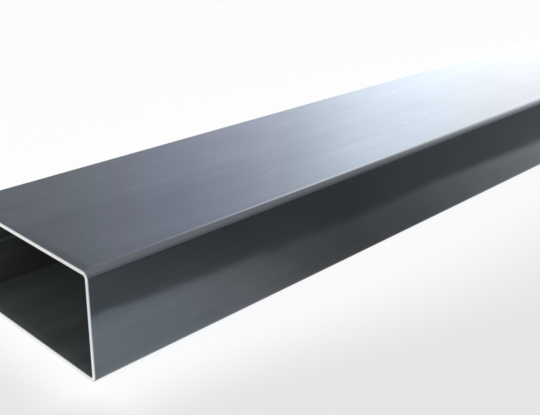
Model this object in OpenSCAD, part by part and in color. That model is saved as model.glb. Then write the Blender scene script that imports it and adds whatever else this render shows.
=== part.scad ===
// Cold-formed rectangular steel tube, lying on its wide face, with both ends saw-cut square.
// The section is one steel strip bent round four corners and closed by a welded seam, so the walls
// and the bends are all made from the same strip profile.
// Axes: +X runs along the tube, +Y across its width, +Z up from the face that it lies on.
// The origin is in the middle of the underside.

/* [Section] */
// Outside width of the section, across the wide faces
section_width = 200; // [100:5:300]
// Outside height of the section
section_height = 100; // [80:5:200]
// Thickness of the wall
wall = 4; // [2:0.5:8]
// Inside radius of the four bends
bend_radius = 2.5; // [2:0.5:10]

/* [Stock] */
// Length between the two saw cuts
length = 2000; // [500:50:6000]
// Chamfer left on the edges of a cut end by deburring
deburr = 0.5; // [0.2:0.1:0.8]

/* [Weld seam] */
// Width of the weld bead that stands inside the tube
bead_width = 3; // [2:0.5:6]
// Height of the bead above the inside of the wall
bead_height = 1; // [0.5:0.1:1.5]
// Distance of the seam above the middle of its wall
seam_offset = 0; // [-15:1:15]

/* [Hidden] */
$fn = 96;

steel_colour = [0.36, 0.38, 0.42];

outer_radius = bend_radius + wall;

// Centres of the bends, measured from the middle of the section
bend_centre_x = section_width / 2 - outer_radius;
bend_centre_y = section_height / 2 - outer_radius;

// Inner faces of the walls, measured from the middle of the section
inner_x = section_width / 2 - wall;
inner_y = section_height / 2 - wall;

// The bead is part of a round bar that is set back into the wall
bead_radius = (pow(bead_height, 2) + pow(bead_width / 2, 2)) / (2 * bead_height);
bead_root = wall / 2;

// The strip cut along its length: x runs through its thickness, from the inside of the tube to the
// outside, and y runs along it from cut to cut. The four corners of the cuts are deburred.
module strip_profile() {
    half_length = length / 2;
    polygon([
        [0, deburr - half_length],
        [deburr, -half_length],
        [wall - deburr, -half_length],
        [wall, deburr - half_length],
        [wall, half_length - deburr],
        [wall - deburr, half_length],
        [deburr, half_length],
        [0, half_length - deburr]
    ]);
}

// A flat wall that faces +X, with the tube's length along Z
module flat_wall(flat_width) {
    rotate([90, 0, 0])
        linear_extrude(height = flat_width, center = true)
            strip_profile();
}

// A quarter bend from +X to +Y, with the tube's length along Z
module bend() {
    rotate_extrude(angle = 90)
        translate([bend_radius, 0])
            strip_profile();
}

// The strip bent into a tube that stands on end, centred on the Z axis
module bent_strip() {
    for (flip = [0, 1]) {
        mirror([flip, 0, 0])
            translate([inner_x, 0, 0])
                flat_wall(2 * bend_centre_y);
        mirror([0, flip, 0])
            translate([0, inner_y, 0])
                rotate([0, 0, 90])
                    flat_wall(2 * bend_centre_x);
    }
    for (flip_x = [0, 1], flip_y = [0, 1])
        mirror([flip_x, 0, 0])
            mirror([0, flip_y, 0])
                translate([bend_centre_x, bend_centre_y, 0])
                    bend();
}

// The bead that the seam leaves inside the wall that faces +X, between the deburred edges
module weld_bead() {
    bead_length = length - 2 * deburr;
    intersection() {
        translate([inner_x + bead_radius - bead_height, seam_offset, 0])
            cylinder(r = bead_radius, h = bead_length, center = true);
        translate([inner_x - bead_height, seam_offset - bead_radius, -bead_length / 2])
            cube([bead_height + bead_root, 2 * bead_radius, bead_length]);
    }
}

// The whole tube laid down, so that its length is along X and its seam faces +Y
module tube() {
    color(steel_colour)
        translate([0, 0, section_height / 2])
            rotate([90, 0, 90])
                union() {
                    bent_strip();
                    weld_bead();
                }
}

tube();
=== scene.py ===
# %% [markdown]
# # A rectangular steel tube, dressed for its picture
#
# The part is one length of cold-formed rectangular tube: a steel strip bent round four corners,
# welded shut along one narrow wall and sawn square at both ends. Its solid is already fixed by the
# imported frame. This lesson builds the skin that shows, in metres and in the same place, and gives
# it the dark mill finish, the bright saw cuts and the dull bore that such stock has.
#
# The first step loads the frame and keeps its box, because the skin may not leave that box.

import math

import bmesh
import bpy
from mathutils import Euler, Matrix, Vector, noise


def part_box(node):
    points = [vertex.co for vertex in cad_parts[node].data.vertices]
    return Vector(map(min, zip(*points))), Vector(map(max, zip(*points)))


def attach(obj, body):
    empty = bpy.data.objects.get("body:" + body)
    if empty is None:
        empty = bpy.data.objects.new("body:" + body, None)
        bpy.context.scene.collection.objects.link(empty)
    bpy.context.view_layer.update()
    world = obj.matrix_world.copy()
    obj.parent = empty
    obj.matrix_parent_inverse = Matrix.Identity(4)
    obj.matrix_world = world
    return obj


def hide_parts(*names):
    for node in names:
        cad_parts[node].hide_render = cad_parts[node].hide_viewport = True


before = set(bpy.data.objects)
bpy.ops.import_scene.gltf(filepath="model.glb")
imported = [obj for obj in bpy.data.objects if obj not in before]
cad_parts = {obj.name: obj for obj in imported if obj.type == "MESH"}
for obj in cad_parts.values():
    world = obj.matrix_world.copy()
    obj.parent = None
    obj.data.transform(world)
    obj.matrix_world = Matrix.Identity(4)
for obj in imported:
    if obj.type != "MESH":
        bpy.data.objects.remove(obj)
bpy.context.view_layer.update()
tube_low, tube_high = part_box("tube")
print("the tube's box runs from", tuple(tube_low), "to", tuple(tube_high))

# %% [markdown]
# The outside sizes of the section come from the frame. The wall of 4 mm, the bends of 6.5 mm outside
# radius, the size of the deburred edge and the width of the weld's bead are those of the solid. The
# bead is lower than the solid's 1 mm, so that its ripples stay within it.

# %% Sizes of the section
WALL = 0.004
OUTER_RADIUS = 0.0065
DEBURR = 0.0005
BEAD_WIDTH = 0.003
BEAD_HEIGHT = 0.00085
# Two places closer together than this count as one
TOUCH = 1e-5
length = tube_high.x - tube_low.x
width = tube_high.y - tube_low.y
height = tube_high.z - tube_low.z
middle = (tube_low + tube_high) / 2
print("length, width, height in mm:", [round(1000 * size, 2) for size in (length, width, height)])

# %% [markdown]
# The mouth of the tube is drawn first, as a flat outline that stands across the tube's axis. It could
# be typed in as a list of points, but a rectangle whose four corners are bevelled is the same thing
# with one radius to change. Extra points are split into the straight sides: one close to each bend
# keeps the smooth shading of the bend off the flat, and a few at the seam carry the weld bead.

# %% The outline of the section
BEND_SEGMENTS = 12
SHADING_MARGIN = 0.0015
BEAD_POINTS = 9


def upright(place, turn):
    """The matrix that stands a flat shape up, turns it about the vertical and moves it to a place."""
    return Matrix.Translation(place) @ Euler((math.radians(90), 0, turn)).to_matrix().to_4x4()


def split_at(edge, places):
    """Splits a straight edge at these distances from its first point."""
    start, end = edge.verts
    full = edge.calc_length()
    done = 0.0
    for place in places:
        start = bmesh.utils.edge_split(edge, start, (place - done) / (full - done))[1]
        edge = next(e for e in start.link_edges if e.other_vert(start) is end)
        done = place


tube_bm = bmesh.new()
stand = upright((tube_low.x, middle.y, middle.z), math.radians(90))
bmesh.ops.create_grid(
    tube_bm, x_segments=1, y_segments=1, size=0.5,
    matrix=stand @ Matrix.Diagonal((width, height, 1, 1)),
)
bmesh.ops.bevel(
    tube_bm, geom=tube_bm.verts[:], offset=OUTER_RADIUS, offset_type="OFFSET", affect="VERTICES",
    segments=BEND_SEGMENTS, profile=0.5, material=-1,
)
for side in [e for e in tube_bm.edges if e.calc_length() > 2 * OUTER_RADIUS]:
    full = side.calc_length()
    places = [SHADING_MARGIN, full - SHADING_MARGIN]
    if all(v.co.y > tube_high.y - TOUCH for v in side.verts):
        step = BEAD_WIDTH / (BEAD_POINTS - 1)
        places += [full / 2 - BEAD_WIDTH / 2 + step * i for i in range(BEAD_POINTS)]
    split_at(side, sorted(places))
print("points on the outline:", len(tube_bm.verts))

# %% [markdown]
# The wall is an inset of that outline by 4 mm. Even offset keeps it 4 mm thick round the bends, so
# the inner bends come out concentric with the outer ones, as they do when a strip is folded. The
# middle of the inset is thrown away, and the ring that is left is pulled along the whole length. The
# long faces are then cut into short stretches, because the bead needs points to ripple with.

# %% The wall and its length
STRETCHES = 200

faces = tube_bm.faces[:]
bmesh.ops.inset_region(
    tube_bm, faces=faces, thickness=WALL, depth=0, use_even_offset=True, use_boundary=True
)
bmesh.ops.delete(tube_bm, geom=faces, context="FACES")
pulled = bmesh.ops.extrude_face_region(tube_bm, geom=tube_bm.faces[:])
far_points = [g for g in pulled["geom"] if isinstance(g, bmesh.types.BMVert)]
bmesh.ops.translate(tube_bm, verts=far_points, vec=(length, 0, 0))
long_edges = [e for e in tube_bm.edges if e.calc_length() > length / 2]
bmesh.ops.subdivide_edges(tube_bm, edges=long_edges, cuts=STRETCHES - 1, use_grid_fill=True)
open_edges = [e for e in tube_bm.edges if not e.is_manifold]
print("faces:", len(tube_bm.faces), "open edges:", len(open_edges))

# %% [markdown]
# Inside, the weld leaves a bead: a low ridge of metal that was squeezed out of the seam. A bump in
# the finish would leave its outline flat at the mouth, so it is made of real points: those of the
# inner wall at the seam are pushed in by a rounded profile. Two noises along the tube, quick ripples
# and slow swells, change its height, and the swells also move it a little to and fro. The seam's
# outside was planed flush while it was still hot, and only the finish shows it there.

# %% The weld bead
RIPPLES_PER_METRE, SWELLS_PER_METRE = 90, 14
PLAIN_SHARE, RIPPLE_SHARE, SWELL_SHARE = 0.82, 0.14, 0.10
BEAD_WANDER = 0.0003

inner_wall_y = tube_high.y - WALL
bead = [
    v for v in tube_bm.verts
    if abs(v.co.y - inner_wall_y) < TOUCH and abs(v.co.z - middle.z) < BEAD_WIDTH / 2 + TOUCH
]
for point in bead:
    # The fixed numbers pick two different lines through the noise
    ripple = noise.noise(Vector((point.co.x * RIPPLES_PER_METRE, 0, 3.1)))
    swell = noise.noise(Vector((point.co.x * SWELLS_PER_METRE, 5.2, 0)))
    crown = math.sqrt(max(0.0, 1 - (2 * (point.co.z - middle.z) / BEAD_WIDTH) ** 2))
    share = PLAIN_SHARE + RIPPLE_SHARE * ripple + SWELL_SHARE * swell
    point.co.y -= crown * BEAD_HEIGHT * share
    point.co.z += BEAD_WANDER * swell * crown
bead_top = inner_wall_y - min(point.co.y for point in bead)
print("bead points:", len(bead), "and its height in mm: up to", round(1000 * bead_top, 3))

# %% [markdown]
# A saw leaves the cut square, and the sharp arrises are then taken off so that nobody is cut. The
# four loops of edges that run round the mouths get a bevel of half a millimetre. The solid has a flat
# chamfer there. Three steps round it off, as a file does, and the roundness catches the light.

# %% The deburred ends
DEBURR_STEPS = 3


def from_end(place):
    """How far a place is from the nearer sawn end."""
    return min(place.x - tube_low.x, tube_high.x - place.x)


rim_edges = [
    e for e in tube_bm.edges
    if all(from_end(v.co) < TOUCH for v in e.verts)
    and any(abs(f.normal.x) < 0.5 for f in e.link_faces)
]
bmesh.ops.bevel(
    tube_bm, geom=rim_edges, offset=DEBURR, offset_type="OFFSET", affect="EDGES",
    segments=DEBURR_STEPS, profile=0.5, material=-1,
)
bmesh.ops.recalc_face_normals(tube_bm, faces=tube_bm.faces[:])
print("rim edges bevelled:", len(rim_edges))

# %% [markdown]
# Three finishes meet on this one piece of steel, so each face is told which it wears: the outside,
# the bore, or the cut. They could be three objects, but then their edges would have to be kept
# together by hand. Shading is smooth, but for edges that bend by more than 18 degrees: the steps of
# the deburred edge and the steep sides of the bead.

# %% Which face wears which finish
OUTSIDE, BORE, CUT = range(3)
SHARP_ANGLE = math.radians(18)

for face in tube_bm.faces:
    face.smooth = True
    centre = face.calc_center_median()
    reach_y = abs(centre.y - middle.y) / (width / 2 - WALL / 2)
    reach_z = abs(centre.z - middle.z) / (height / 2 - WALL / 2)
    if from_end(centre) < DEBURR:
        face.material_index = CUT
    elif max(reach_y, reach_z) < 1:
        face.material_index = BORE
    else:
        face.material_index = OUTSIDE
for edge in tube_bm.edges:
    if edge.calc_face_angle(0) > SHARP_ANGLE:
        edge.smooth = False
worn = [face.material_index for face in tube_bm.faces]
print("faces outside, in the bore and on the cuts:", [worn.count(i) for i in (OUTSIDE, BORE, CUT)])
print("sharp edges:", sum(not edge.smooth for edge in tube_bm.edges))

# %% [markdown]
# The mesh is finished, so it becomes an object. Its place is in the mesh and the object stays at the
# origin, which keeps Object coordinates the same as places in the frame.

# %% The tube as an object


def new_object(name, bm):
    """Turns a finished bmesh into an object at the origin."""
    mesh = bpy.data.meshes.new(name)
    bm.to_mesh(mesh)
    bm.free()
    thing = bpy.data.objects.new(name, mesh)
    bpy.context.scene.collection.objects.link(thing)
    return thing


tube = new_object("steel_tube", tube_bm)
print("triangles:", sum(len(face.vertices) - 2 for face in tube.data.polygons))

# %% [markdown]
# ## Finishes
#
# Every finish is built from nodes that read Object coordinates, so the pattern sits still on the
# steel. Short helpers keep the node trees readable. The first ones add a node, set its inputs by
# name, and feed an input with whatever is given: another node's output, a number or a colour.

# %% Helpers: nodes and what goes into them


def add(tree, kind, **properties):
    """Adds a node of this kind and sets these of its properties."""
    node = tree.nodes.new(kind)
    for name, value in properties.items():
        setattr(node, name, value)
    return node


def fill(node, **values):
    """Sets inputs by name, with an underscore for each space. Gives the node back."""
    for name, value in values.items():
        node.inputs[name.replace("_", " ")].default_value = value
    return node


def feed(tree, value, socket):
    """Joins an output to this input, or writes a number, a vector or a colour into it."""
    if isinstance(value, bpy.types.NodeSocket):
        tree.links.new(value, socket)
    else:
        socket.default_value = value


print("helpers:", [helper.__name__ for helper in (add, fill, feed)])

# %% [markdown]
# The next helpers do sums. A mask is a number from 0 to 1 that says how much of something there is at
# a point, and most masks here are smooth steps, because a hard step would show as a drawn line.

# %% Helpers: sums, steps and mixes
# A Mix node has sockets for each kind of value, and these are the ones that it uses for colours
MIX_SHARE, MIX_FIRST, MIX_SECOND, MIX_RESULT = 0, 6, 7, 2


def math_node(tree, operation, *values):
    """A Math node on outputs or numbers. Gives its own output."""
    node = add(tree, "ShaderNodeMath", operation=operation)
    for value, socket in zip(values, node.inputs):
        feed(tree, value, socket)
    return node.outputs["Value"]


def vector_node(tree, operation, *values):
    """The same for vectors. A length or a dot product comes out as a number."""
    node = add(tree, "ShaderNodeVectorMath", operation=operation)
    for value, socket in zip(values, node.inputs):
        feed(tree, value, socket)
    return node.outputs["Value" if operation in ("LENGTH", "DOT_PRODUCT") else "Vector"]


def ramp(tree, value, low, high, bottom=0.0, top=1.0):
    """A smooth step from bottom to top as value goes from low to high."""
    node = add(tree, "ShaderNodeMapRange", interpolation_type="SMOOTHSTEP")
    fill(node, From_Min=low, From_Max=high, To_Min=bottom, To_Max=top)
    feed(tree, value, node.inputs["Value"])
    return node.outputs["Result"]


def mix_colours(tree, share, first, second):
    """Goes from the first colour to the second as the share goes from 0 to 1."""
    node = add(tree, "ShaderNodeMix", data_type="RGBA")
    feed(tree, share, node.inputs[MIX_SHARE])
    for value, index in ((first, MIX_FIRST), (second, MIX_SECOND)):
        feed(tree, (*value, 1) if isinstance(value, tuple) else value, node.inputs[index])
    return node.outputs[MIX_RESULT]


print("helpers:", [helper.__name__ for helper in (math_node, vector_node, ramp, mix_colours)])

# %% [markdown]
# Nearly every mark on rolled steel is a noise that was drawn out along the tube. A Mapping node does
# that before the noise is read: a scale of (6, 1500, 1500) puts 6 cells of noise in each metre along
# the tube and 1500 across it, which makes long hairlines.

# %% Helpers: places and noise on the steel


def object_place(tree):
    """The place of a point in Object coordinates."""
    return add(tree, "ShaderNodeTexCoord").outputs["Object"]


def object_xyz(tree):
    """The x, y and z of that place."""
    node = add(tree, "ShaderNodeSeparateXYZ")
    feed(tree, object_place(tree), node.inputs["Vector"])
    return tuple(node.outputs)


def stretched_noise(tree, scale, detail=3.0, roughness=0.5, turn=(0, 0, 0)):
    """Noise with so many cells in each metre of x, y and z."""
    mapping = fill(add(tree, "ShaderNodeMapping"), Rotation=turn, Scale=scale)
    feed(tree, object_place(tree), mapping.inputs["Vector"])
    texture = fill(add(tree, "ShaderNodeTexNoise"), Scale=1.0, Detail=detail, Roughness=roughness)
    feed(tree, mapping.outputs["Vector"], texture.inputs["Vector"])
    return texture.outputs["Fac"]


print("helpers:", [helper.__name__ for helper in (object_place, object_xyz, stretched_noise)])

# %% [markdown]
# The outside and the bore come from the same strip, so they share their marks. Each kind of mark is a
# node group: it is built once, puts out masks, and is then placed in a finish with its own values.

# %% Helpers: groups


def new_group(name, inputs, outputs):
    """An empty group. Gives it, what comes into it and the sockets that take what it puts out."""
    group = bpy.data.node_groups.new(name, "ShaderNodeTree")
    for label, value in inputs.items():
        socket = group.interface.new_socket(name=label, in_out="INPUT", socket_type="NodeSocketFloat")
        socket.default_value = value
    for label in outputs:
        group.interface.new_socket(name=label, in_out="OUTPUT", socket_type="NodeSocketFloat")
    print("group", name, "takes", list(inputs), "and gives", outputs)
    return group, add(group, "NodeGroupInput").outputs, add(group, "NodeGroupOutput").inputs


def use_group(tree, group, **values):
    """Places a group in a tree with these values. Gives what it puts out."""
    return fill(add(tree, "ShaderNodeGroup", node_tree=group), **values).outputs


print("helpers:", [helper.__name__ for helper in (new_group, use_group)])

# %% [markdown]
# The strip was rolled before it was bent, so everything on it runs along the tube: fine lines from
# the rolls, and longer, softer streaks of thicker and thinner oxide. Both are noise squeezed hard
# across the tube and drawn out along it. The group gives the lines and the streaks apart, because
# one feeds the surface's height and the other its colour.

# %% Roll lines
roll_lines, given, result = new_group("Roll lines", {"Contrast": 1.0}, ["Lines", "Streaks"])
fine = stretched_noise(roll_lines, (6, 1500, 1500), detail=2.0)
broad = stretched_noise(roll_lines, (1.3, 75, 75), detail=4.0, roughness=0.55)
for label, value, low, high in (("Lines", fine, 0.3, 0.7), ("Streaks", broad, 0.32, 0.68)):
    centred = math_node(roll_lines, "SUBTRACT", ramp(roll_lines, value, low, high), 0.5)
    scaled = math_node(roll_lines, "MULTIPLY", centred, given["Contrast"])
    feed(roll_lines, math_node(roll_lines, "ADD", scaled, 0.5), result[label])
print("nodes in it:", len(roll_lines.nodes))

# %% [markdown]
# Mill oxide is never even. It clouds where the strip cooled unevenly and it is peppered with small
# darker flecks. Two sizes of noise give the clouds and the flecks.

# %% Oxide clouds and flecks
oxide, given, result = new_group("Mill oxide", {"Amount": 1.0}, ["Clouds", "Flecks"])
clouds = stretched_noise(oxide, (5, 14, 14), detail=5.0, roughness=0.6)
flecks = stretched_noise(oxide, (260, 420, 420), detail=2.0, roughness=0.6)
for label, value, low, high in (("Clouds", clouds, 0.3, 0.7), ("Flecks", flecks, 0.56, 0.74)):
    shaped = ramp(oxide, value, low, high)
    feed(oxide, math_node(oxide, "MULTIPLY", shaped, given["Amount"]), result[label])
print("nodes in it:", len(oxide.nodes))

# %% [markdown]
# Lengths of tube slide over each other and over rollers, and that leaves thin bright scratches. Each
# set of scratches is a noise drawn out along one direction, and only the narrow band where it
# crosses its middle value is kept. A second, slow noise leaves most of the surface free of them.

# %% Handling scratches
SCRATCH_CELLS = (2.2, 210, 210)
SCRATCH_BAND = 0.012
# How each set is turned, and the cells of the slow noise that lets it through where it is high
SCRATCH_SETS = (((0, 0.05, 0.07), (3, 9, 9)), ((0, -0.3, -0.42), (7, 11, 11)))
LET_THROUGH = (0.56, 0.70)

scratches, given, result = new_group("Handling scratches", {"Amount": 1.0}, ["Scratches"])
total = 0.0
for turn, patch_cells in SCRATCH_SETS:
    drawn_out = stretched_noise(scratches, SCRATCH_CELLS, detail=0.0, turn=turn)
    distance = math_node(scratches, "ABSOLUTE", math_node(scratches, "SUBTRACT", drawn_out, 0.5))
    thin = ramp(scratches, distance, 0.0, SCRATCH_BAND, bottom=1.0, top=0.0)
    patch = ramp(scratches, stretched_noise(scratches, patch_cells, detail=2.0), *LET_THROUGH)
    kept = math_node(scratches, "MULTIPLY", thin, patch)
    total = math_node(scratches, "MAXIMUM", total, kept)
feed(scratches, math_node(scratches, "MULTIPLY", total, given["Amount"]), result["Scratches"])
print("nodes in it:", len(scratches.nodes))

# %% [markdown]
# The weld runs along the middle of one narrow wall. On the outside it shows as a planed strip with a
# halo of heat tint beside it, and in the bore as a scaled bead with the same halo. Both finishes
# need to know how far they are from the seam, so that is a group too. It measures the distance in
# half widths of the strip. The masks fade out within the wall's bends, so that only this one narrow
# wall has them.

# %% Weld seam
SEAM_WANDER = 0.003
SEAM_CELLS = (5, 1, 1)
# How far in from the outside of the wall the masks are gone, and where they are whole
WALL_FADE = (0.007, 0.006)
# Each mask is whole up to the first number of half widths and gone at the second
SEAM_MASKS = (("Strip", 0.85, 1.1), ("Heat", 1.0, 4.5))

seam, given, result = new_group("Weld seam", {"Half width": 0.003}, ["Strip", "Heat"])
across, up = object_xyz(seam)[1:]
wobble = math_node(seam, "SUBTRACT", stretched_noise(seam, SEAM_CELLS), 0.5)
wander = math_node(seam, "MULTIPLY", wobble, SEAM_WANDER)
offset = math_node(seam, "ADD", math_node(seam, "SUBTRACT", up, middle.z), wander)
half_widths = math_node(seam, "DIVIDE", math_node(seam, "ABSOLUTE", offset), given["Half width"])
on_wall = ramp(seam, across, *(tube_high.y - depth for depth in WALL_FADE))
for label, whole, gone in SEAM_MASKS:
    mask = ramp(seam, half_widths, whole, gone, bottom=1.0, top=0.0)
    feed(seam, math_node(seam, "MULTIPLY", mask, on_wall), result[label])
print("nodes in it:", len(seam.nodes))

# %% [markdown]
# With the marks made, a finish is three lists: colours laid over a first tone, amounts added to a
# first roughness, and reliefs laid over each other. One helper for each list keeps the finishes
# short, and makes them easy to compare.

# %% Helpers: finishes


def new_finish(name, **constants):
    """A material with one Principled shader. Gives the material, its tree and the shader."""
    material = bpy.data.materials.new(name)
    material.use_nodes = True
    tree = material.node_tree
    return material, tree, fill(tree.nodes["Principled BSDF"], **constants)


def lay_over(tree, tone, layers):
    """Lays colours over a tone. Each covers it where its mask is, and no more than its share."""
    for mask, share, colour in layers:
        tone = mix_colours(tree, math_node(tree, "MULTIPLY", mask, share), tone, colour)
    return tone


def raise_by(tree, value, steps):
    """Adds amounts to a value, each where its mask is."""
    for mask, amount in steps:
        value = math_node(tree, "ADD", value, math_node(tree, "MULTIPLY", mask, amount))
    return value


def relief(tree, layers):
    """Bumps in metres, each laid over the ones before. Gives the normal."""
    normal = None
    for pattern, depth in layers:
        node = fill(add(tree, "ShaderNodeBump"), Strength=1.0, Distance=depth)
        feed(tree, pattern, node.inputs["Height"])
        if normal is not None:
            feed(tree, normal, node.inputs["Normal"])
        normal = node.outputs["Normal"]
    return normal


print("helpers:", [helper.__name__ for helper in (new_finish, lay_over, raise_by, relief)])

# %% [markdown]
# The outside is the finish that carries the picture: steel under a thin, tight, blue-grey oxide. It
# is a metal, but a dark one, and it turns into a mirror where it is seen at a low angle. The part of
# each bend next to the wide faces is painted lighter: partly wear from the rolls, partly a painted
# highlight along the band that the bend mirrors. Where a bend is can be told from two distances from
# the middle, so its mask needs no picture.

# %% Outside finish: its marks
# How far in the band of wear and painted highlight starts and is whole, sideways and up or down
WEAR_AND_HIGHLIGHT_ACROSS, WEAR_AND_HIGHLIGHT_UP = (0.0085, 0.004), (0.0045, 0.0018)

outside, tree, shader = new_finish(
    "mill_oxide_outside", Metallic=1.0, Specular_Tint=(0.93, 0.96, 1.0, 1.0)
)
lines = use_group(tree, roll_lines, Contrast=1.0)
patches = use_group(tree, oxide, Amount=1.0)
marks = use_group(tree, scratches, Amount=1.0)
weld = use_group(tree, seam, Half_width=0.0035)
across, up = object_xyz(tree)[1:]
off_middle_y = math_node(tree, "ABSOLUTE", across)
off_middle_z = math_node(tree, "ABSOLUTE", math_node(tree, "SUBTRACT", up, middle.z))
beyond_y = ramp(tree, off_middle_y, *(width / 2 - depth for depth in WEAR_AND_HIGHLIGHT_ACROSS))
beyond_z = ramp(tree, off_middle_z, *(height / 2 - depth for depth in WEAR_AND_HIGHLIGHT_UP))
bend_wear_and_highlight = math_node(tree, "MULTIPLY", beyond_y, beyond_z)
print("marks on the outside:", [*lines.keys(), *patches.keys(), *marks.keys(), *weld.keys()])

# %% [markdown]
# The oxide's colour drifts between two dark blue-greys. Streaks and flecks are darker still, the
# scratches let the steel shine through, the bends get their wear and painted highlight, and the weld
# is planed bright in a blue halo. Each colour is laid on thinly, because the eye notices a mark on
# dark steel at once.

# %% Outside finish: colour
tone = mix_colours(tree, patches["Clouds"], (0.106, 0.119, 0.137), (0.134, 0.148, 0.168))
tone = lay_over(tree, tone, (
    (lines["Streaks"], 0.35, (0.090, 0.101, 0.118)),
    (patches["Flecks"], 0.35, (0.075, 0.085, 0.100)),
    # Painted highlight and wear: the part of each bend next to the wide faces is laid lighter
    (bend_wear_and_highlight, 0.6, (0.236, 0.242, 0.262)),
    (weld["Heat"], 0.45, (0.085, 0.10, 0.15)),
    (weld["Strip"], 0.55, (0.27, 0.28, 0.29)),
    (marks["Scratches"], 0.35, (0.30, 0.32, 0.34)),
))
feed(tree, tone, shader.inputs["Base Color"])
print("nodes so far:", len(tree.nodes))

# %% [markdown]
# The oxide is smooth enough to mirror the room, and a little duller at each of its marks. Its relief
# is in millionths of a metre. Only the waves in the walls are deeper: a quarter of a millimetre over
# 6 to 14 centimetres. They bend what the steel mirrors, as the walls of real tube do.

# %% Outside finish: gloss and relief
SMOOTHEST, DULLEST = 0.08, 0.12
WAVE_DEPTH, LINE_DEPTH, SCRATCH_DEPTH = 0.00025, 0.0000025, 0.000006

rough = ramp(tree, patches["Clouds"], 0.0, 1.0, bottom=SMOOTHEST, top=DULLEST)
rough = raise_by(tree, rough, (
    (lines["Streaks"], 0.03), (weld["Strip"], 0.12), (bend_wear_and_highlight, 0.06), (patches["Flecks"], 0.08),
))
feed(tree, rough, shader.inputs["Roughness"])
waves = stretched_noise(tree, (7, 16, 16), detail=1.0)
normal = relief(tree, (
    (waves, WAVE_DEPTH), (lines["Lines"], LINE_DEPTH), (marks["Scratches"], SCRATCH_DEPTH),
))
feed(tree, normal, shader.inputs["Normal"])
print("nodes in the outside finish:", len(tree.nodes))

# %% [markdown]
# The bore never touched a finishing roll. It keeps a thicker, duller scale that swallows light, with
# the same lines and clouds as the outside, and a rough bead along the seam. It could be the outside
# finish made darker, but the scale is half way to a stone: it is less of a metal, and grainy.

# %% Bore finish
BORE_LINE_DEPTH, GRAIN_DEPTH = 0.000004, 0.00001

bore, tree, shader = new_finish("mill_scale_bore", Metallic=0.35)
lines = use_group(tree, roll_lines, Contrast=1.0)
patches = use_group(tree, oxide, Amount=1.0)
weld = use_group(tree, seam, Half_width=0.0018)
tone = mix_colours(tree, patches["Clouds"], (0.061, 0.066, 0.067), (0.081, 0.087, 0.088))
tone = lay_over(tree, tone, (
    (lines["Streaks"], 0.4, (0.050, 0.054, 0.055)),
    (weld["Heat"], 0.5, (0.045, 0.052, 0.068)),
    (weld["Strip"], 0.6, (0.14, 0.145, 0.145)),
))
feed(tree, tone, shader.inputs["Base Color"])
rough = ramp(tree, patches["Clouds"], 0.0, 1.0, bottom=0.38, top=0.50)
feed(tree, raise_by(tree, rough, ((patches["Flecks"], 0.15),)), shader.inputs["Roughness"])
grain = stretched_noise(tree, (900, 900, 900), detail=2.0)
normal = relief(tree, ((lines["Lines"], BORE_LINE_DEPTH), (grain, GRAIN_DEPTH)))
feed(tree, normal, shader.inputs["Normal"])
print("nodes in the bore finish:", len(tree.nodes))

# %% [markdown]
# The saw cut is bare steel. A band saw leaves fine parallel grooves that lean a little, so the noise
# is turned a few degrees and squeezed hard in one direction across the face. A slower noise darkens
# the cut a little in places, where bare steel has begun to dull.

# %% Saw-cut finish: grooves
GROOVE_CELLS = (1, 12, 1700)
GROOVE_LEAN = math.radians(6)
GROOVE_DEPTH = 0.00002

cut, tree, shader = new_finish("saw_cut_steel", Metallic=1.0)
grooves = stretched_noise(tree, GROOVE_CELLS, turn=(GROOVE_LEAN, 0, 0))
dulled = ramp(tree, stretched_noise(tree, (1, 40, 40)), 0.55, 0.8, top=0.35)
tone = mix_colours(tree, ramp(tree, grooves, 0.3, 0.7), (0.86, 0.86, 0.855), (0.96, 0.96, 0.955))
tone = mix_colours(tree, dulled, tone, (0.70, 0.71, 0.72))
feed(tree, ramp(tree, grooves, 0.25, 0.75, bottom=0.32, top=0.46), shader.inputs["Roughness"])
feed(tree, relief(tree, ((grooves, GROOVE_DEPTH),)), shader.inputs["Normal"])
print("nodes so far:", len(tree.nodes))

# %% [markdown]
# Taking off the burr leaves both edges of the ring duller than its middle. How far a point is from
# the middle of the wall is found as for a rounded box: the place is folded into one quarter of the
# section, the flats are taken away, and the length of what is left is the distance from the bend's
# centre. The bright line sits a touch outside the middle of the wall.

# %% Saw-cut finish: duller edges
BRIGHT_LINE = OUTER_RADIUS - WALL / 2 + 0.00015
# How far from the bright line the dull edge begins and where it is whole, and how much it covers
EDGE_START, EDGE_WHOLE, EDGE_SHARE = 0.0008, 0.0017, 0.75

# The whole length is taken away too, so that only the place on the section is left
bend_centre = Vector((length, width / 2 - OUTER_RADIUS, height / 2 - OUTER_RADIUS))
folded = vector_node(tree, "ABSOLUTE", vector_node(tree, "SUBTRACT", object_place(tree), middle))
past_flats = vector_node(tree, "SUBTRACT", folded, bend_centre)
from_bend = vector_node(tree, "LENGTH", vector_node(tree, "MAXIMUM", past_flats, (0, 0, 0)))
off_line = math_node(tree, "ABSOLUTE", math_node(tree, "SUBTRACT", from_bend, BRIGHT_LINE))
near_edge = ramp(tree, off_line, EDGE_START, EDGE_WHOLE, top=EDGE_SHARE)
tone = mix_colours(tree, near_edge, tone, (0.33, 0.34, 0.36))
feed(tree, tone, shader.inputs["Base Color"])
print("nodes in the saw-cut finish:", len(tree.nodes))

# %% [markdown]
# The finishes go onto the tube in the order of their numbers. The tube stands in for the frame's
# solid, which is hidden, and rides on the one body.

# %% The finished tube
for finish in (outside, bore, cut):
    tube.data.materials.append(finish)
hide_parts("tube")
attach(tube, "root")
print("finishes on the tube:", [finish.name for finish in tube.data.materials])

# %% [markdown]
# ## The studio
#
# The tube lies on a pale floor that runs out of sight. It is one large rectangle, because a curved
# backdrop would mirror as a bright line in the steel.

# %% Floor
FLOOR_SIZE = 30.0


def stage_object(name, bm):
    """Makes an object of the studio from a bmesh."""
    thing = new_object(name, bm)
    return thing


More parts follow.
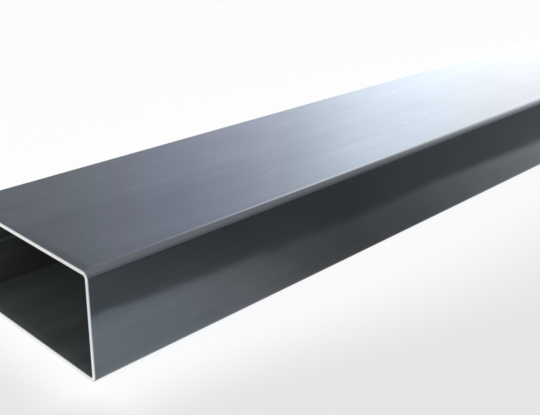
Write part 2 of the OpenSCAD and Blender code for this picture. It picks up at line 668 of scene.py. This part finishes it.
def new_plane(name, half_x, half_y, place):
    """A rectangle of the studio. The matrix that moves and turns it goes into its mesh."""
    bm = bmesh.new()
    matrix = place @ Matrix.Diagonal((half_x, half_y, 1, 1))
    bmesh.ops.create_grid(bm, x_segments=1, y_segments=1, size=1.0, matrix=matrix)
    return stage_object(name, bm)


floor = new_plane("floor", FLOOR_SIZE / 2, FLOOR_SIZE / 2, Matrix.Identity(4))
print("floor in metres:", tuple(floor.dimensions))

# %% [markdown]
# The floor is white, but for a soft pool of shade that begins about a hand's breadth from the sawn
# mouth and two from the near side, and that fades out again further away. It depends on how far a
# point is from the steel, so it is a sum on Object coordinates. The distance is measured beside the
# tube and before its mouth, and what lies before the mouth counts less and less towards the far side.

# %% The pool of shade
SHADE_DEPTH = 0.205
# How far from the steel the shade is deepest, and where past the mouth the one passes into the other
REACH_AT_MOUTH, REACH_BEYOND = 0.085, 0.225
REACH_CHANGE = (-0.05, 0.45)
# How much a distance before the mouth counts, and how far across the floor it has stopped to count
END_PULL, END_PULL_STOPS = 1.3, 0.3
# The oval that the shade keeps to: its middle, its reach each way, and the share of it that is whole
POOL_CENTRE, POOL_REACH, POOL_CORE = (-0.75, -0.4, 0), (1.8, 1.3, 1), 0.25

paper, tree, shader = new_finish("pale_floor", Roughness=0.9, Specular_IOR_Level=0.1)
along, across = object_xyz(tree)[:2]
beside = math_node(tree, "MAXIMUM", math_node(tree, "SUBTRACT", -width / 2, across), 0.0)
before = math_node(tree, "MAXIMUM", math_node(tree, "SUBTRACT", tube_low.x, along), 0.0)
pull = ramp(tree, across, 0.0, END_PULL_STOPS, bottom=END_PULL, top=0.0)
away = math_node(tree, "ADD", beside, math_node(tree, "MULTIPLY", before, pull))
change = [tube_low.x + place for place in REACH_CHANGE]
reach = ramp(tree, along, *change, bottom=REACH_AT_MOUTH, top=REACH_BEYOND)
nearby = ramp(tree, math_node(tree, "DIVIDE", away, reach), 0.0, 1.0, top=SHADE_DEPTH)
oval = add(tree, "ShaderNodeMapping", vector_type="TEXTURE")
fill(oval, Location=POOL_CENTRE, Scale=POOL_REACH)
feed(tree, object_place(tree), oval.inputs["Vector"])
from_centre = vector_node(tree, "LENGTH", oval.outputs["Vector"])
in_pool = ramp(tree, from_centre, POOL_CORE, 1.0, bottom=1.0, top=0.0)
grey = math_node(tree, "SUBTRACT", 1.0, math_node(tree, "MULTIPLY", nearby, in_pool))
print("nodes so far:", len(tree.nodes))

# %% [markdown]
# More light would make the paper white, but would also wash out the steel. So the camera and the
# reflections see the paper mixed with a white glow of its own. The rest of what they see is still lit
# paper, and that keeps the tube's soft shadow.

# %% Paper and its glow
PAPER_GREY = 0.90
GLOW_SHARE = 0.9

paper.cycles.emission_sampling = "NONE"
feed(tree, math_node(tree, "MULTIPLY", grey, PAPER_GREY), shader.inputs["Base Color"])
glow = add(tree, "ShaderNodeEmission")
feed(tree, grey, glow.inputs["Color"])
path = add(tree, "ShaderNodeLightPath").outputs
mirrored = math_node(tree, "MAXIMUM", path["Is Glossy Ray"], path["Is Transmission Ray"])
seen = math_node(tree, "MAXIMUM", path["Is Camera Ray"], mirrored)
blend = add(tree, "ShaderNodeMixShader")
parts = (math_node(tree, "MULTIPLY", seen, GLOW_SHARE), shader.outputs["BSDF"], glow.outputs["Emission"])
for part, socket in zip(parts, blend.inputs):
    feed(tree, part, socket)
feed(tree, blend.outputs["Shader"], tree.nodes["Material Output"].inputs["Surface"])
floor.data.materials.append(paper)
print("nodes in the floor's paper:", len(tree.nodes))

# %% [markdown]
# Dark polished metal on white paper reflects only paper and goes flat. Photographers lay a graded mat
# beside it, just for the reflection: pale next to the tube and dark further out. In the side of the
# tube that gives a pale band low down and a dark band above it. The mat only gives light, of a
# strength that each of its points carries as an attribute, and it is cool paper next to the mouth
# and warm beyond. Only mirror-like rays meet it, so the camera sees the plain floor.

# %% The paper of the mats
COOL_PAPER, WARM_PAPER = (0.98, 1.05, 1.06), (1.0, 0.985, 0.96)
# How far past the mouth the paper stops being cool and is wholly warm
PAPER_CHANGE = (0.03, 0.26)


def glowing(name):
    """A material that only gives light. Gives the material, its tree and the inputs of its glow."""
    material = bpy.data.materials.new(name)
    material.use_nodes = True
    material.cycles.emission_sampling = "NONE"
    tree = material.node_tree
    tree.nodes.remove(tree.nodes["Principled BSDF"])
    glow = add(tree, "ShaderNodeEmission")
    feed(tree, glow.outputs["Emission"], tree.nodes["Material Output"].inputs["Surface"])
    return material, tree, glow.inputs


mat_glow, tree, glow = glowing("mat_shades")
shade_of_point = add(tree, "ShaderNodeAttribute", attribute_name="shade")
feed(tree, shade_of_point.outputs["Fac"], glow["Strength"])
along = object_xyz(tree)[0]
warmth = ramp(tree, along, *(tube_low.x + place for place in PAPER_CHANGE))
feed(tree, mix_colours(tree, warmth, COOL_PAPER, WARM_PAPER), glow["Color"])
print("nodes in the paper of the mats:", len(tree.nodes))

# %% [markdown]
# Each mat is one grid. Its columns are moved to a few stations along the tube, and its four rows to
# the inner edge, the two sides of the soft line between pale and dark, and the outer edge. So a short
# table holds the whole mat, and the far side gets the same one.

# %% Graded mats
MAT_HEIGHT = 0.001
MAT_START, MAT_REACH = -0.004, 2.5
# Place along the tube, the line's distance from it and half width, and the shade inside and outside it
STATIONS = [
    (-1.00, 0.104, 0.002, 1.02, 0.43),
    (-0.90, 0.083, 0.002, 0.93, 0.38),
    (-0.80, 0.074, 0.003, 0.74, 0.30),
    (-0.72, 0.071, 0.009, 0.42, 0.25),
    (-0.64, 0.067, 0.010, 0.36, 0.23),
    (-0.54, 0.066, 0.008, 0.42, 0.24),
    (-0.42, 0.066, 0.007, 0.60, 0.28),
    (-0.30, 0.060, 0.006, 0.79, 0.30),
    (-0.15, 0.053, 0.006, 0.99, 0.33),
    (1.00, 0.051, 0.006, 1.02, 0.34),
]
LAST_COLUMN, LAST_ROW = len(STATIONS) - 1, 3


def only_mirrored(thing):
    """Hides a thing from every ray but those that a shiny surface sends out."""
    thing.visible_camera = False
    thing.visible_diffuse = False
    thing.visible_shadow = False
    thing.visible_transmission = False


for name, side in (("near_mat", -1), ("back_mat", 1)):
    bm = bmesh.new()
    shade = bm.verts.layers.float.new("shade")
    bmesh.ops.create_grid(bm, x_segments=LAST_COLUMN, y_segments=LAST_ROW, size=0.5)
    for vert in bm.verts:
        column = round((vert.co.x + 0.5) * LAST_COLUMN)
        row = round((vert.co.y + 0.5) * LAST_ROW)
        place, line, half_soft, inner_shade, outer_shade = STATIONS[column]
        out = (MAT_START, line - half_soft, line + half_soft, MAT_REACH)[row]
        vert[shade] = inner_shade if row < 2 else outer_shade
        vert.co = (place, side * (width / 2 + out), MAT_HEIGHT)
    mat = stage_object(name, bm)
    mat.data.materials.append(mat_glow)
    only_mirrored(mat)
    print(name, "has", len(mat.data.vertices), "points")

# %% [markdown]
# The world is an even pale grey, like a tent of white cloth. It could be a sky picture, but plain
# cloth leaves nothing in the steel that isn't meant. The camera sees the tent in the grey of the far
# floor, so that no skyline shows. Colours are shown as they are written, with the Standard view.

# %% World
TENT_LIGHT, TENT_TINT = 0.68, (0.97, 0.985, 1.0)
SKYLINE = (0.96, 0.96, 0.96)


def tinted(light, tint):
    """A light of this strength in this tint, as a colour."""
    return tuple(channel * light for channel in tint)


scene = bpy.context.scene
scene.view_settings.view_transform = "Standard"
world = bpy.data.worlds.new("pale_tent")
world.use_nodes = True
tree = world.node_tree
to_camera = add(tree, "ShaderNodeLightPath").outputs["Is Camera Ray"]
tent = mix_colours(tree, to_camera, tinted(TENT_LIGHT, TENT_TINT), SKYLINE)
feed(tree, tent, tree.nodes["Background"].inputs["Color"])
scene.world = world
print("light of the tent:", [round(channel, 3) for channel in tinted(TENT_LIGHT, TENT_TINT)])

# %% [markdown]
# A wide soft light hangs over the tube. A small hooded lamp lies low in front of each sawn end and
# looks into the bore, which would be a black hole without it. All three light the steel without
# showing in it, because a lamp's outline in the metal would look like a window.

# %% Lamps


def area_light(name, place, aim, size, power, colour, spread=math.pi):
    """A rectangular lamp at a place, turned to its aim, that neither the camera nor the steel sees."""
    data = bpy.data.lights.new(name, "AREA")
    data.shape = "RECTANGLE"
    data.size, data.size_y = size
    data.energy = power
    data.color = colour
    data.spread = spread
    light = bpy.data.objects.new(name, data)
    scene.collection.objects.link(light)
    light.location = place
    light.rotation_euler = (Vector(aim) - Vector(place)).to_track_quat("-Z", "Y").to_euler()
    light.visible_camera = False
    light.visible_glossy = False


area_light(
    "overhead", place=(-0.6, -0.9, 2.6), aim=(-0.2, 0, 0), size=(5.0, 4.0), power=40,
    colour=(1.0, 0.99, 0.97),
)
for name, end in (("mouth_lamp", -1), ("far_mouth_lamp", 1)):
    area_light(
        name, place=(2.2 * end, 0.04, 0.22), aim=(1.0 * end, 0.0, 0.05), size=(0.25, 0.25),
        power=0.95, colour=(0.93, 0.97, 1.0), spread=math.radians(30),
    )

# %% [markdown]
# The steel of the top runs from slate to white along its length, because it mirrors more and more of
# one bright thing towards the far end. Here that is a long softbox beyond the far end, which only the
# steel sees. Its light and its tint along its length are a smooth curve through a few points, and at
# both its ends it fades into the light of the tent, so that no edge of it shows in the steel.

# %% The softbox's curve of light
VIOLET, BLUE, WHITE = (0.98, 0.97, 1.08), (0.93, 0.967, 1.0), (1.0, 0.985, 0.955)
# Place along the softbox, counted to its left from the sight line of the next cell, the light there
# and its tint
BOX_CURVE = [
    (-9.0, TENT_LIGHT, TENT_TINT), (-6.5, 0.9, TENT_TINT), (-4.5, 1.15, TENT_TINT),
    (-2.5, 1.8, TENT_TINT), (-1.2, 2.3, WHITE), (-0.3, 2.65, WHITE), (0.1, 2.8, WHITE),
    (0.5, 2.9, BLUE), (0.9, 2.55, BLUE), (1.2, 1.95, BLUE), (1.5, 1.53, VIOLET),
    (1.95, 1.16, VIOLET), (2.4, 0.94, VIOLET), (2.85, 0.79, TENT_TINT), (3.3, TENT_LIGHT, TENT_TINT),
]
box_start, box_end = BOX_CURVE[0][0], BOX_CURVE[-1][0]
box_peak = max(light for place, light, tint in BOX_CURVE)
print("length of the softbox:", round(box_end - box_start, 2), "m, brightest light:", box_peak)

# %% [markdown]
# The softbox stands upright, across a sight line that starts on the floor under the camera and heads
# past the far end. A point of the top mirrors what lies beyond it on its own sight line, so sideways
# places on the box and places on the steel go together, and the curve can be set point by point.

# %% The softbox
SIGHT_START = Vector((-1.31, -0.586, 0))
BOX_DISTANCE = 5.0
BOX_AZIMUTH = math.radians(28)
BOX_BOTTOM, BOX_TOP = -0.09, 4.8

towards = Vector((math.cos(BOX_AZIMUTH), math.sin(BOX_AZIMUTH), 0))
left = Vector((-math.sin(BOX_AZIMUTH), math.cos(BOX_AZIMUTH), 0))
on_sight_line = SIGHT_START + towards * BOX_DISTANCE
to_centre = left * (box_start + box_end) / 2 + Vector((0, 0, (BOX_BOTTOM + BOX_TOP) / 2))
stand = upright(on_sight_line + to_centre, BOX_AZIMUTH - math.radians(90))
softbox = new_plane("softbox", (box_end - box_start) / 2, (BOX_TOP - BOX_BOTTOM) / 2, stand)
only_mirrored(softbox)
print("middle of the softbox:", [round(number, 2) for number in on_sight_line + to_centre])

# %% [markdown]
# The curve becomes a colour ramp, which runs smoothly through its stops and is read by how far a
# point of the box is to the left of the sight line. A colour ramp can't be brighter than 1, so the
# brightest light is the strength of the whole glow and the stops are shares of it. Towards its top
# the box fades into the tent as well.

# %% The softbox's glow
BOX_FADE = 2.8


def glow_curve(tree, value):
    """The light and tint of the softbox at this place along it, as a share of its brightest light."""
    span = fill(add(tree, "ShaderNodeMapRange"), From_Min=box_start, From_Max=box_end)
    feed(tree, value, span.inputs["Value"])
    node = add(tree, "ShaderNodeValToRGB")
    node.color_ramp.interpolation = "CARDINAL"
    stops = node.color_ramp.elements
    while len(stops) < len(BOX_CURVE):
        stops.new(0.5)
    for stop, (place, light, tint) in zip(stops, BOX_CURVE):
        stop.position = (place - box_start) / (box_end - box_start)
        stop.color = (*tinted(light / box_peak, tint), 1)
    feed(tree, span.outputs["Result"], node.inputs["Fac"])
    return node.outputs["Color"]


box_glow, tree, glow = glowing("softbox_glow")
feed(tree, box_peak, glow["Strength"])
sideways = vector_node(tree, "DOT_PRODUCT", object_place(tree), left)
place_on_box = math_node(tree, "SUBTRACT", sideways, left.dot(on_sight_line))
below_fade = ramp(tree, object_xyz(tree)[2], BOX_FADE, BOX_TOP, bottom=1.0, top=0.0)
box_edge = tinted(TENT_LIGHT / box_peak, TENT_TINT)
glow_colour = mix_colours(tree, below_fade, box_edge, glow_curve(tree, place_on_box))
feed(tree, glow_colour, glow["Color"])
softbox.data.materials.append(box_glow)
print("nodes in the softbox's glow:", len(tree.nodes))

# %% [markdown]
# The camera stands in front of the sawn end, to the near side, and looks along the tube and down at
# it. Its place was found by matching the straight edges of the tube to those in the picture, for a
# section twice as wide as it is high. The focal length comes out in pixels, so it is turned into
# millimetres for a sensor as wide as the picture.

# %% Camera
PICTURE_WIDTH, FOCAL_PIXELS = 540, 834.2
CAMERA_PLACE = (-1.3068, -0.5844, 0.3957)
HEADING, PITCH, ROLL = math.radians(43.85), math.radians(23.18), math.radians(1.15)

camera_data = bpy.data.cameras.new("camera")
camera_data.sensor_fit = "HORIZONTAL"
camera_data.sensor_width = 36.0
camera_data.lens = FOCAL_PIXELS / PICTURE_WIDTH * camera_data.sensor_width
camera_data.dof.use_dof = False
camera = bpy.data.objects.new("camera", camera_data)
scene.collection.objects.link(camera)
camera.location = CAMERA_PLACE
level = math.cos(PITCH)
forward = Vector((level * math.cos(HEADING), level * math.sin(HEADING), -math.sin(PITCH)))
aim = forward.to_track_quat("-Z", "Y").to_matrix().to_4x4()
camera.rotation_euler = (aim @ Matrix.Rotation(ROLL, 4, "Z")).to_euler()
scene.camera = camera
print("lens in mm:", round(camera_data.lens, 2))
